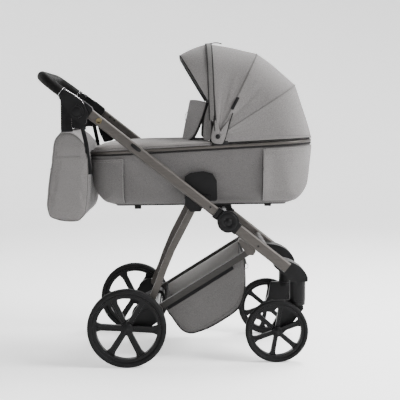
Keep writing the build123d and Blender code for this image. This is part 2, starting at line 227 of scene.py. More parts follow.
# A darker copy of the taupe metal: painted shade for the link tubes
TAUPE_PAINTED_SHADE = anodised("taupe_shadowed", (0.02, 0.0185, 0.0175))
CASTING = moulded("black_casting", (0.0028, 0.0028, 0.003), 0.42, 900.0, 0.0005)
PLASTIC = moulded("black_plastic", (0.002, 0.002, 0.0022), 0.47)
RIM = moulded("rim_plastic", (0.0028, 0.0028, 0.003), 0.38, 700.0, 0.0003)
TYRE = moulded("tyre_foam", (0.0042, 0.0042, 0.0044), 0.72, 1100.0, 0.0007)
STEEL = polished("satin_steel", (0.16, 0.16, 0.165), 0.38)
CHROME = polished("bright_collar", (0.55, 0.55, 0.56))
BRASS = polished("brass_badge", (0.085, 0.07, 0.042), 0.35)
RED = moulded("brake_red", (0.26, 0.03, 0.012), 0.4)
DARK_TRIM = webbing("piping", (0.006, 0.0057, 0.0055))
THREAD = fabric("sewing_thread", (0.2, 0.19, 0.18), (0.12, 0.115, 0.11), 2400.0)

# The materials of each of the record's slots; the first is the one that CAD nodes get
FINISH = {"grey_fabric": (CLOTH, CLOTH_PAINTED_SHADE, CLOTH_POCKET_PAINTED_SHADE, CLOTH_LIGHT, BASKET_CLOTH), "light_lining": (LINING,),
    "black_webbing": (WEB, DARK_TRIM, THREAD), "grip_leather": (GRIP,), "taupe_metal": (TAUPE,),
    "black_casting": (CASTING,), "black_plastic": (PLASTIC,), "steel": (STEEL,), "bright_metal": (CHROME, BRASS),
    "tyre": (TYRE,), "rim_plastic": (RIM,), "rubber": (TYRE, RED)}
SLOT_OF = {material.name: slot for slot, materials in FINISH.items() for material in materials}


# ---- mesh helpers

def placed(name, data):
    """A new object in the scene."""
    obj = bpy.data.objects.new(name, data)
    bpy.context.collection.objects.link(obj)
    return obj


def piece(name, verts, faces, material, body=None, slot=None):
    """A mesh object that rides on a body when one is given; the slot argument is not used."""
    data = bpy.data.meshes.new(name)
    data.from_pydata([tuple(v) for v in verts], [], faces)
    data.validate()
    data.polygons.foreach_set("use_smooth", [True] * len(data.polygons))
    data.materials.append(material)
    obj = placed(name, data)
    if body:
        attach(obj, body)
    slot = slot or SLOT_OF.get(material.name)
    return obj


def grid_faces(rows, cols, close_rows=False, close_cols=False):
    """The four-sided faces of a grid of points, joined end to end where it is closed."""
    faces = []
    for i in range(rows if close_rows else rows - 1):
        for j in range(cols if close_cols else cols - 1):
            a, b = i * cols + j, i * cols + (j + 1) % cols
            c, d = (i + 1) % rows * cols + (j + 1) % cols, (i + 1) % rows * cols + j
            faces.append((a, b, c, d))
    return faces


def settle(obj):
    """Applies the modifiers, so that the mesh is final."""
    bpy.context.view_layer.update()
    graph = bpy.context.evaluated_depsgraph_get()
    data = bpy.data.meshes.new_from_object(obj.evaluated_get(graph))
    obj.modifiers.clear()
    obj.data = data
    data.polygons.foreach_set("use_smooth", [True] * len(data.polygons))
    return obj


def sheet_of(name, points, material, thick, body=None, close_cols=False):
    """A cloth layer from a grid of points: thickened, with rounded edges, and made final."""
    rows, cols = points.shape[:2]
    obj = piece(name, points.reshape(-1, 3), grid_faces(rows, cols, False, close_cols), material)
    solid = obj.modifiers.new("thickness", "SOLIDIFY")
    solid.thickness, solid.offset = thick, 0.0
    obj.modifiers.new("round", "SUBSURF").levels = 1
    settle(obj)
    if body:
        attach(obj, body)
    return obj


def sweep(name, path, section, material, body=None, slot=None, closed=False, up=(0, 0, 1)):
    """A section, a list of (side, up) offsets, carried along a path of points."""
    path = np.array(path, float)
    ahead = np.roll(path, -1, 0) - np.roll(path, 1, 0)
    if not closed:
        ahead[0], ahead[-1] = path[1] - path[0], path[-1] - path[-2]
    ahead /= np.linalg.norm(ahead, axis=1)[:, None] + 1e-12
    ups = np.broadcast_to(np.array(up, float), path.shape)
    side = np.cross(ups, ahead)
    side /= np.linalg.norm(side, axis=1)[:, None] + 1e-12
    over = np.cross(ahead, side)
    section = np.array(section, float)
    verts = path[:, None] + side[:, None] * section[None, :, :1] + over[:, None] * section[None, :, 1:]
    rows, cols = verts.shape[:2]
    faces = grid_faces(rows, cols, closed, True)
    if not closed:
        faces += [tuple(range(cols))[::-1], tuple(range((rows - 1) * cols, rows * cols))]
    return piece(name, verts.reshape(-1, 3), faces, material, body, slot)


def ring_section(radius, sides=10):
    return [(radius * cos(2 * pi * k / sides), radius * sin(2 * pi * k / sides)) for k in range(sides)]


def strap_section(width, thick):
    """A flat strap's section with rounded edges."""
    w, t = width / 2, thick / 2
    return [(-w + t, -t), (w - t, -t), (w, 0), (w - t, t), (-w + t, t), (-w, 0)]


def cord(name, path, radius, material, body, **how):
    """A thin round cord along a path."""
    return sweep(name, path, ring_section(radius, 8), material, body, **how)


def strap(name, path, width, thick, material, body, **how):
    """A flat strap along a path, its width across both the path and up."""
    return sweep(name, path, strap_section(width, thick), material, body, **how)


def curve(points, count, closed=False):
    """A smooth line of evenly spaced points through a few given ones."""
    pts = np.array(points, float)
    n = len(pts)
    fine = []
    for i in range(n if closed else n - 1):
        get = (lambda k: pts[k % n]) if closed else (lambda k: pts[min(max(k, 0), n - 1)])
        a, b, c, d = get(i - 1), get(i), get(i + 1), get(i + 2)
        for t in np.linspace(0, 1, 16, endpoint=False):
            square, cube = 2 * a - 5 * b + 4 * c - d, 3 * b - a - 3 * c + d
            fine.append(0.5 * (2 * b + (c - a) * t + square * t ** 2 + cube * t ** 3))
    fine.append(pts[0] if closed else pts[-1])
    fine = np.array(fine)
    along = np.concatenate([[0], np.cumsum(np.linalg.norm(np.diff(fine, axis=0), axis=1))])
    at = np.linspace(0, along[-1], count, endpoint=not closed)
    return np.stack([np.interp(at, along, fine[:, k]) for k in range(3)], 1)


def on_surface(obj, points, lift=0.0):
    """Points moved to the nearest place on a piece, and lifted off it."""
    tree = BVHTree.FromPolygons([v.co for v in obj.data.vertices], [p.vertices for p in obj.data.polygons])
    out = []
    for p in points:
        at, normal, _, _ = tree.find_nearest(Vector(p))
        out.append(at + normal * lift)
    return np.array(out)


def ripple(p, size, seed=0.0):
    """Smooth noise from -1 to 1 at a point, for creases of this size in metres."""
    return noise.noise(Vector(p) / size + Vector((seed, seed * 1.7, seed * 0.3)))


def lathe(name, profile, centre, outward, material, body, turns=40):
    """A round piece turned about Y at centre; profile is (radius, distance outboard)."""
    verts = []
    for k in range(turns):
        a = 2 * pi * k / turns
        verts += [(centre[0] + r * cos(a), centre[1] + outward * h, centre[2] + r * sin(a)) for r, h in profile]
    return piece(name, verts, grid_faces(turns, len(profile), True), material, body)


def stitches(name, path, body, material, long=0.0035, gap=0.0025, thick=0.0006):
    """A row of sewn stitches as one mesh."""
    path = np.array(path, float)
    along = np.concatenate([[0], np.cumsum(np.linalg.norm(np.diff(path, axis=0), axis=1))])
    starts = np.arange(0, along[-1] - long, long + gap)
    point = lambda s: np.array([np.interp(s, along, path[:, k]) for k in range(3)])
    verts, faces = [], []
    for s in starts:
        a, b = point(s), point(s + long)
        ahead = (b - a) / (np.linalg.norm(b - a) + 1e-12)
        side = np.cross(ahead, (0.3, 0.5, 0.8))
        side /= np.linalg.norm(side)
        over = np.cross(ahead, side)
        base = len(verts)
        for end, size in ((a, 0.5), ((a + b) / 2, 1.0), (b, 0.5)):
            verts += [end + thick * size * (side * cos(t) + over * sin(t)) for t in np.arange(6) * pi / 3]
        faces += [tuple(base + k for k in face) for face in grid_faces(3, 6, False, True)]
        faces += [tuple(base + k for k in range(6))[::-1], tuple(base + 12 + k for k in range(6))]
    return piece(name, verts, faces, material, body)


def soft(name, node, material, body, voxel, pressure, cap, smoothing, steps=20):
    """A padded piece: the node's solid remeshed, smoothed and blown up as cloth, by no more than cap."""
    obj = placed(name, frame["nodes"][node].data.copy())
    remesh = obj.modifiers.new("even", "REMESH")
    remesh.mode, remesh.voxel_size = "VOXEL", voxel
    relax = obj.modifiers.new("relax", "SMOOTH")
    relax.factor, relax.iterations = 0.5, smoothing
    settle(obj)
    rest = np.array([v.co for v in obj.data.vertices])
    cloth = obj.modifiers.new("cloth", "CLOTH")
    cloth.collision_settings.use_collision = False
    how = cloth.settings
    how.quality, how.use_pressure, how.uniform_pressure_force = 4, True, pressure
    how.effector_weights.gravity = 0.0
    how.tension_stiffness = how.compression_stiffness = 18.0
    for step in range(1, steps + 1):
        bpy.context.scene.frame_set(step)
    graph = bpy.context.evaluated_depsgraph_get()
    blown = np.array([v.co for v in obj.evaluated_get(graph).data.vertices])
    obj.modifiers.clear()
    bpy.context.scene.frame_set(1)
    move = blown - rest
    size = np.linalg.norm(move, axis=1)[:, None] + 1e-9
    rest = rest + move * np.minimum(size, cap) / size
    obj.data.vertices.foreach_set("co", rest.ravel())
    obj.data.materials.clear()
    obj.data.materials.append(material)
    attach(obj, body)
    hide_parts(node)
    return obj


def mm(*points):
    """Points written in millimetres, in metres."""
    return [tuple(v / 1000 for v in point) for point in points]


# ---- carrycot

COT_MID = (COT_LOW.x + COT_HIGH.x) / 2
COT_HALF = (COT_HIGH.x - COT_LOW.x) / 2
COT_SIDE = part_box("cot_band")[1].y - 0.003
COT_CORNER = 0.14
COT_TURNS = 176
BAND = 0.012
COT_FLOOR, FLOOR_SLOPE = 0.5612, 0.0107
END_ROUND, END_TAPER = 0.086, 0.031
SIDE_ROUND, SIDE_TAPER = 0.058, 0.012
TAPER_HEIGHT = 0.205
FOOT_POCKET_END, HEAD_POCKET_START = -0.19, 0.303


def floor_z(x):
    """Height of the carrycot's underside."""
    return COT_FLOOR + FLOOR_SLOPE * (x - COT_LOW.x)


def cot_outline(count=COT_TURNS):
    """Evenly spaced points and outward normals round the carrycot's plan."""
    c, hx, hy = COT_CORNER, COT_HALF - COT_CORNER, COT_SIDE - COT_CORNER
    lengths = [2 * hy, c * pi / 2, 2 * hx, c * pi / 2] * 2
    corners = (hx, hy), (-hx, hy), (-hx, -hy), (hx, -hy)
    total, points, normals = sum(lengths), [], []
    for s in np.arange(count) * total / count:
        k = 0
        while s > lengths[k]:
            s -= lengths[k]
            k += 1
        turn = (k // 2) * pi / 2
        corner, before = corners[k // 2], corners[k // 2 - 1]
        a = turn if k % 2 == 0 else turn + s / c
        if k % 2 == 0:
            share = s / lengths[k]
            base = [before[n] + (corner[n] - before[n]) * share for n in (0, 1)]
        else:
            base = corner
        normals.append((cos(a), sin(a)))
        points.append((COT_MID + base[0] + c * cos(a), base[1] + c * sin(a)))
    return np.array(points), np.array(normals)


OUTLINE, OUTWARD = cot_outline()


def wall_inset(up, round_r, taper):
    """How far the wall is drawn in at a height over the floor: a rounded foot and a sloping wall."""
    foot = round_r - np.sqrt(np.maximum(round_r ** 2 - np.maximum(round_r - up, 0) ** 2, 0))
    return foot + taper * np.clip(1 - up / TAPER_HEIGHT, 0, 1)


def cot_ring(high, proud=0.0, lift=0.0):
    """A ring of the carrycot's wall at a share high from its floor to its rim."""
    x = OUTLINE[:, 0]
    floor = floor_z(x)
    up = (rim_z(x) - 0.004 - floor) * high
    end_in, side_in = wall_inset(up, END_ROUND, END_TAPER), wall_inset(up, SIDE_ROUND, SIDE_TAPER)
    along, across = np.maximum(np.abs(OUTWARD), 0.001).T
    by_end = (np.abs(x - COT_MID) - COT_HALF + end_in) / along
    by_side = (np.abs(OUTLINE[:, 1]) - COT_SIDE + side_in) / across
    inset = np.cbrt(np.maximum(by_end, 0) ** 3 + np.maximum(by_side, 0) ** 3) - proud
    p = OUTLINE - OUTWARD * inset[:, None]
    return np.stack([p[:, 0], p[:, 1], floor_z(p[:, 0]) + up + lift], 1)


WALL_ROWS = [0.0, 0.006, 0.02, 0.045, 0.08, 0.12, 0.17, 0.22, 0.28, 0.34, 0.41, 0.5, 0.6, 0.7, 0.8, 0.9, 0.96, 1.0]


def carrycot():
    """The cloth wall, the lining, the rim's metal band and the piping."""
    lowest = cot_ring(0.0)
    middle = lowest.mean(0)
    rows = [middle + (lowest - middle) * share for share in (0.02, 0.35, 0.7, 0.92)]
    rows = np.array(rows + [cot_ring(h) for h in WALL_ROWS])
    for i in range(6, rows.shape[0] - 1):
        for j in range(COT_TURNS):
            p = rows[i, j]
            crease = 0.0013 * ripple(p * (0.5, 0.5, 2.0), 0.055, 3.0) + 0.001 * ripple(p, 0.12, 8.0)
            rows[i, j, :2] += OUTWARD[j] * (crease - 0.0006)
    # The wall wears the grey cloth's darker copy, which paints shade on it
    wall = sheet_of("carrycot_cover", rows, CLOTH_PAINTED_SHADE, 0.003, "carrycot", close_cols=True)
    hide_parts("cot_shell")

    inside = np.array([cot_ring(h, -d) for h, d in ((0.995, 0.009), (0.97, 0.012), (0.85, 0.015), (0.65, 0.017),
        (0.45, 0.018), (0.3, 0.018), (0.2, 0.018))])
    for j in range(COT_TURNS):
        for i in range(1, 6):
            inside[i, j, :2] -= OUTWARD[j] * 0.002 * (1 + ripple(inside[i, j], 0.05, 5.0))
    sheet_of("carrycot_lining", inside, LINING, 0.003, "carrycot", close_cols=True)

    oval = [(0.0034 * cos(a), BAND / 2 * sin(a)) for a in np.linspace(0, 2 * pi, 12, endpoint=False)]
    band = sweep("rim_band", cot_ring(1.0, 0.0012, 0.003 - BAND / 2), oval, TAUPE, "carrycot", closed=True)
    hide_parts("cot_band")
    sweep("rim_piping", cot_ring(1.0, 0.0016, -BAND), ring_section(0.003), DARK_TRIM, "carrycot", closed=True)
    sweep("floor_piping", cot_ring(0.012, 0.001, -0.0015), ring_section(0.003), DARK_TRIM, "carrycot", closed=True)


def end_pocket(name, first, last, low, high, material):
    """A second layer of cloth round one end, open at its two upright edges."""
    rows = np.array([cot_ring(h, 0.0042) for h in np.linspace(low, high, 22)])
    across = np.arange(first, last) % COT_TURNS
    rows = rows[:, across]
    normal = OUTWARD[across]
    edge = np.minimum(np.arange(len(across)), np.arange(len(across))[::-1])
    for i in range(rows.shape[0]):
        share = i / (rows.shape[0] - 1)
        for j in range(rows.shape[1]):
            gape = 0.0075 * np.exp(-(edge[j] / 1.6) ** 2) * sin(pi * min(1, 0.12 + share)) ** 0.5
            crease = 0.0012 * ripple(rows[i, j] * (1, 1, 0.5), 0.045, 11.0)
            rows[i, j, :2] += normal[j] * (gape + crease)
    sheet_of(name, rows, material, 0.0026, "carrycot")
    cord(f"{name}_hem", curve(rows[-1], 90), 0.0018, CLOTH, "carrycot")
    for tag, k in (("near", 0), ("far", -1)):
        side = rows[:, k]
        cord(f"{name}_edge_{tag}", curve(side, 40), 0.0019, CLOTH, "carrycot")
        # A dark cord set back behind each open edge: painted shadow
        back = side - np.append(normal[k], 0) * 0.004
        cord(f"{name}_shadow_{tag}", curve(back, 40), 0.0034, DARK_TRIM, "carrycot")
    inner = rows[-1] + np.append(normal * 0.0022, np.full((len(normal), 1), -0.007), 1)
    stitches(f"{name}_stitches", inner, "carrycot", THREAD)


def pocket_range(test):
    """The first and last outline points of the stretch where test(x) holds."""
    inside = [bool(test(x)) for x in OUTLINE[:, 0]]
    start = next(k for k in range(COT_TURNS) if inside[k] and not inside[k - 1])
    return start, start + sum(inside)


carrycot()
# The foot pocket wears the grey cloth's darker copy as painted shade
end_pocket("foot_pocket", *pocket_range(lambda x: x < FOOT_POCKET_END), 0.06, 0.855, CLOTH_POCKET_PAINTED_SHADE)
end_pocket("head_pocket", *pocket_range(lambda x: x > HEAD_POCKET_START), 0.06, 0.905, CLOTH)
mattress = soft("mattress_pad", "mattress", LINING, "carrycot", voxel=0.008, pressure=3.0, cap=0.004, smoothing=6)


# ---- hood

BOW = 95.0
RIBS = (0.0, 33.0, 64.0, BOW)
REACH = (0.345, 0.339, 0.33, 0.332)
HOOD_SIDE, HOOD_ROUND = 0.2045, 0.118
VISOR_TIP, VISOR_LOW, VISOR_HEEL = (115.0, 0.318), 0.134, 106.0
BAND_ANGLE, BAND_LEAN = 95.4, 0.017
TAB_ANGLE = 62.6


def at_pivot(x, y, z):
    """A point at an offset from the hood's pivot."""
    return HOOD_PIVOT[0] + x, y, HOOD_PIVOT[1] + z


def arch(reach, low, half=HOOD_SIDE, corner=HOOD_ROUND):
    """(radius, y) points of a hood bow: up the right side, over and down the left."""
    side = [(r, -half) for r in np.linspace(low, reach - corner, 16)]
    turn = [(reach - corner + corner * sin(a), -half + corner * (1 - cos(a)))
        for a in np.linspace(0, pi / 2, 13)[1:]]
    top = [(reach, y) for y in np.linspace(-half + corner, half - corner, 9)[1:-1]]
    return np.array(side + turn + top + [(r, -y) for r, y in reversed(side + turn)])


def fan(radius, angle, y):
    """The row-frame point at a radius and angle about the hood's pivot."""
    a = radians(angle)
    return np.array(at_pivot(radius * cos(a), y, radius * sin(a)))


def chord(angle, n):
    """Reach of taut cloth between rib n and the next at an angle."""
    a0, a1, r0, r1 = RIBS[n], RIBS[n + 1], REACH[n], REACH[n + 1]
    low, high = radians(angle - a0), radians(a1 - angle)
    return r0 * r1 * sin(radians(a1 - a0)) / (r0 * sin(low) + r1 * sin(high))


def hood_line(angle, reach, low=0.03, grow=0.0):
    """A bow's points at an angle, grown outwards."""
    return np.array([fan(r, angle, y) for r, y in arch(reach + grow, low, HOOD_SIDE + grow)])


def hood_panel(name, n, bodies):
    """One cloth panel of the hood between two ribs, taut along them and slightly slack between."""
    rows = []
    for t in np.linspace(0, 1, 15):
        angle = RIBS[n] + (RIBS[n + 1] - RIBS[n]) * t
        slack = sin(pi * t)
        reach = chord(angle, n) + 0.0035 * slack
        line = []
        for r, y in arch(reach, 0.022, HOOD_SIDE - 0.0035 * slack):
            p = fan(r, angle, y)
            on_side = min(1.0, max(0.0, (abs(y) - 0.12) / 0.08))
            fold = 0.0026 * noise.noise(Vector((angle / 7.0, r * 6.0, y * 3 + n)))
            fold += 0.0016 * noise.noise(Vector((angle / 2.6, r * 9.0, y * 3 + n * 2)))
            p[1] += np.sign(y) * slack * fold * on_side * min(1.0, r / 0.08)
            p += (fan(1.0, angle, 0) - fan(0.0, angle, 0)) * slack * (1 - on_side) * 0.0025 * ripple(p, 0.07, n)
            line.append(p)
        rows.append(line)
    joined = bodies[0] != bodies[1]
    panel = sheet_of(name, np.array(rows), CLOTH, 0.0026, None if joined else bodies[0])
    if joined:
        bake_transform(panel)
    return panel


def hood_seam(name, n, body, radius):
    """A thin seam over the hood along rib n."""
    line = curve(hood_line(RIBS[n], REACH[n], 0.05, 0.0014), 150)
    return cord(name, line, radius, BASKET_CLOTH, body, slot="black_webbing", up=UPRIGHT)


def visor():
    """The peak in front of the bow: full at the top, cut back to nothing down each side."""
    bow = arch(REACH[3], VISOR_LOW)
    rows = []
    tip = fan(VISOR_TIP[1], VISOR_TIP[0], 0)
    heel = fan(VISOR_LOW, VISOR_HEEL, 0)
    for t in np.linspace(0, 1, 13):
        line = []
        for r, y in bow:
            share = min(1.0, (r - VISOR_LOW) / (VISOR_TIP[1] - VISOR_LOW))
            edge = heel + (tip - heel) * share
            x, z = edge[0] - HOOD_PIVOT[0], edge[2] - HOOD_PIVOT[1]
            edge_angle, edge_r = degrees(atan2(z, x)), hypot(x, z)
            if r > VISOR_TIP[1]:
                edge_r = VISOR_TIP[1] + (r - VISOR_TIP[1]) * 0.06
            p = fan(r + (edge_r - r) * t ** 1.25, BOW + (edge_angle - BOW) * t, y * (1 - 0.035 * t * t))
            p += (0, np.sign(y) * 0.0015 * sin(pi * t) * ripple(p, 0.06, 2.0), 0)
            line.append(p)
        rows.append(line)
    rows = np.array(rows)
    peak = sheet_of("hood_peak", rows, CLOTH, 0.0032, "hood_front")
    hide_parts("hood_visor")
    cord("hood_peak_binding", curve(rows[-1], 150), 0.0022, DARK_TRIM, "hood_front", up=(1, 0.02, 0.3))


def hood_skirt():
    """The hood's lowest cloth, from its first rib down to the carrycot's band, with a dark cord along its foot as
    painted shade above the band.
    """
    upper = curve(hood_line(0.0, REACH[0], 0.024), 150)
    lower = upper.copy()
    lower[:, 2] = rim_z(upper[:, 0]) + 0.0055
    rows = []
    for t in np.linspace(-0.12, 1, 8):
        line = upper + (lower - upper) * t
        bulge = 0.0022 * sin(pi * min(1, max(0, t)))
        line[:, 1] += np.sign(line[:, 1]) * bulge * np.minimum(1, np.abs(line[:, 1]) / 0.15)
        rows.append(line)
    sheet_of("hood_skirt", np.array(rows), CLOTH, 0.0028, "carrycot")
    # The dark cord on top of the band paints the shade between hood and band
    edge = lower + np.sign(lower) * (0, 0.0012, 0) - (0, 0, 0.0005)
    cord("hood_skirt_piping", edge, 0.0024, DARK_TRIM, "carrycot", up=UPRIGHT)


def hood():
    """The panels, seams, bow band, zip pull, tabs and feet of the hood, and its peak."""
    rides = ("carrycot", "carrycot", "hood_middle", "hood_front")
    for n, part in enumerate(("rear", "middle", "front")):
        panel = hood_panel(f"hood_cloth_{part}", n, rides[n:n + 2])
        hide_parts(f"hood_{part}")
    hood_skirt()
    hood_seam("hood_seam_rear", 1, "carrycot", 0.0013)
    hood_seam("hood_seam_middle", 2, "hood_middle", 0.0014)
    turn = radians(BAND_ANGLE)
    across = np.array((-sin(turn), 0, cos(turn)))
    shape = curve(hood_line(BAND_ANGLE, REACH[3], 0.058, 0.0035), 120)
    lean = np.clip(1 - (shape[:, 2] - HOOD_PIVOT[1]) / 0.32, 0, 1)[:, None]
    shape = shape + across * lean * BAND_LEAN
    for name, offset in (("rear", -0.0095), ("front", 0.0095)):
        cord(f"hood_zip_{name}", shape + across * offset, 0.0019, DARK_TRIM, "hood_front", up=UPRIGHT)
    band = np.array([shape + across * offset for offset in (-0.0085, -0.003, 0.003, 0.0085)])
    sheet_of("hood_bow_band", band, BASKET_CLOTH, 0.0024, "hood_front")
    pull = [fan(REACH[3] + g, a, 0) for a, g in ((93.4, 0.009), (91, 0.0115), (88.5, 0.011), (86.4, 0.008))]
    strap("hood_zip_tape", curve(pull, 20), 0.016, 0.0028, WEB, "hood_front", up=(0, 0, 1))
    for tag, side in SIDES:
        loop = [fan(r, TAB_ANGLE, side * (HOOD_SIDE + g))
            for r, g in ((0.108, 0.001), (0.118, 0.0045), (0.142, 0.0045), (0.156, 0.001))]
        strap(f"hood_tab_{tag}", curve(loop, 16), 0.011, 0.002, WEB, "hood_middle", up=(0, side, 0))
        hood_foot(tag, side)
    visor()


def hood_foot(tag, side):
    """The cloth flap that covers the hood's pivot, with its stud."""
    outline = mm((-10, 66), (-14, 45), (-20, 21), (-24, -8), (-18, -22), (0, -26), (18, -25), (26, -7), (35, 28),
        (50, 72))
    edge = curve([(x, 0, z) for x, z in outline], 36)
    rows = []
    for t in np.linspace(0, 1, 10):
        row = []
        for p in edge:
            q = np.array((p[0], 0, p[2])) * (1 - t) + np.array((0.008, 0, 0.018)) * t
            proud = 0.0028 + 0.003 * (1 - (1 - t) ** 4) + 0.001 * ripple((p[0], t, p[2]), 0.03, 1.0)
            proud *= 1 - min(1.0, max(0.0, (q[2] - 0.018) / 0.045)) ** 1.5
            row.append(at_pivot(q[0], side * (HOOD_SIDE + 0.0012 + proud), q[2]))
        rows.append(row)
    fore = mm((53, 83), (41, 47), (31.5, 12), (26.5, -7), (18.5, -23.5))
    line = curve([at_pivot(x, side * (HOOD_SIDE + 0.0046 - 0.03 * max(0, z - 0.02)), z) for x, z in fore], 30)
    cord(f"hood_foot_piping_{tag}", line, 0.0019, DARK_TRIM, "carrycot", up=AWAY)
    inner = mm((-50, -12), (-52, 16), (-49, 48), (-43, 84), (-30, 112), (-24, 70), (-22, 30), (-24, -10))
    rim = curve([at_pivot(x, side * (HOOD_SIDE - 0.009), z) for x, z in inner], 40, closed=True)
    centre = rim.mean(0)
    gusset = []
    for share in (0.03, 0.4, 0.75, 1.0):
        row = centre + (rim - centre) * share
        row[:, 1] -= side * 0.003 * np.array([ripple((q[0], 0, q[2]), 0.02, 4.0) for q in row]) * share
        gusset.append(row)
    sheet_of(f"hood_gusset_{tag}", np.array(gusset), BASKET_CLOTH, 0.0022, "hood_front", close_cols=True)
    arm = mm((-12, 74), (-13, 45), (-10, 18))
    path = curve([at_pivot(x, side * (HOOD_SIDE + 0.0022), z) for x, z in arm], 20)
    strap(f"hood_bow_end_{tag}", path, 0.013, 0.0034, PLASTIC, "hood_front", up=(1, 0, 0))
    sheet_of(f"hood_foot_{tag}", np.array(rows), CLOTH, 0.0026, "carrycot")
    stud = lathe(f"hood_stud_{tag}", mm((0, 15), (5.5, 14.6), (7.8, 12.5), (8.6, 9), (8.6, 6)),
        at_pivot(0, side * HOOD_SIDE, 0), side, PLASTIC, "carrycot")
    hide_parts(f"hood_pivot_{tag}")
    base = mm((-20, -30), (-20, -16), (36, -14), (40, -28), (30, -36), (-10, -38))
    verts = [at_pivot(x, side * y, z) for y in (0.2005, 0.2085) for x, z in base]
    count = len(base)
    faces = [(k, (k + 1) % count, count + (k + 1) % count, count + k) for k in range(count)]
    faces += [tuple(range(count))[::-1], tuple(range(count, 2 * count))]
    socket = piece(f"hood_socket_{tag}", verts, faces, PLASTIC)
    socket.modifiers.new("edge", "BEVEL").width = 0.0015
    settle(socket)
    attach(socket, "carrycot")


hood()


# ---- apron and wind flap

apron = soft("apron_pad", "apron", CLOTH_LIGHT, "apron", voxel=0.006, pressure=6.0, cap=0.006, smoothing=8)


def apron_seams():
    """The bound edge of the apron and the sewn line inside it."""
    turned = OUTLINE[:, 0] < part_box("apron")[1].x - 0.006
    start = next(k for k in range(COT_TURNS) if turned[k] and not turned[k - 1])
    along = np.arange(start, start + sum(turned)) % COT_TURNS
    edge = cot_ring(1.0)[along] + np.array((0, 0, 0.0062)) - np.append(OUTWARD[along] * 0.0012,
        np.zeros((len(along), 1)), 1)
    sweep("apron_binding", curve(edge, 150), ring_section(0.0028), CLOTH, "apron")
    inner = edge - np.append(OUTWARD[along] * 0.019, np.zeros((len(along), 1)), 1) + np.array((0, 0, 0.02))
    line = on_surface(apron, curve(inner, 150), 0.0012)
    stitches("apron_stitches", line, "apron", THREAD)


apron_seams()


def wind_flap():
    """A stiffened cloth flap, bowed towards the foot and held up at its two sides."""
    low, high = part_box("wind_flap")
    rows = []
    for t in np.linspace(0, 1, 15):
        half = 0.172 + (0.162 - 0.172) * t
        middle, side = 0.0195 + 0.029 * t, 0.04 + 0.0625 * t ** 0.62
        row = []
        for v in np.linspace(-1, 1, 33):
            bow = v * v
            x = middle + (side - middle) * bow + 0.0016 * ripple((0, v * half, t * 0.1), 0.05, 4.0)
            top = high.z + 0.006 - 0.01 * abs(v) ** 5
            row.append((x, v * half, low.z + 0.001 + (top - low.z) * t))
        rows.append(row)
    rows = np.array(rows)
    flap = sheet_of("wind_flap_cloth", rows, CLOTH, 0.0042, "wind_flap")
    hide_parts("wind_flap")
    sides = np.concatenate([rows[:, 0], rows[-1, 1:-1], rows[::-1, -1]])
    cord("wind_flap_binding", curve(sides, 120), 0.0024, CLOTH, "wind_flap", up=(1, 0.02, 0.2))
    for tag, side in SIDES:
        # A thick dark cord just ahead of each side edge: painted shadow beside the flap
        hem = rows[:, 0 if side < 0 else -1] + (0.006, 0, 0)
        cord(f"wind_flap_painted_shadow_{tag}", curve(hem, 30), 0.0046, DARK_TRIM, "wind_flap", up=AWAY)
    eye = mm((37.5, 0, 899), (32, 0, 892), (29, 0, 880), (31, 0, 866))
    strap("wind_flap_loop", curve(eye, 14), 0.012, 0.002, WEB, "wind_flap", up=(1, 0, 0.1))


wind_flap()


# ---- changing bag

bag = soft("bag_cloth", "bag_body", CLOTH, "bag", voxel=0.005, pressure=3.0, cap=0.0035, smoothing=10)


def bag_line(name, points, count, lift, radius, material, closed=False):
    """A cord laid on the bag along a few points."""
    path = on_surface(bag, curve(points, count, closed), lift)
    return cord(name, path, radius, material, "bag", slot="black_webbing", closed=closed, up=(0.1, 1, 0.1))


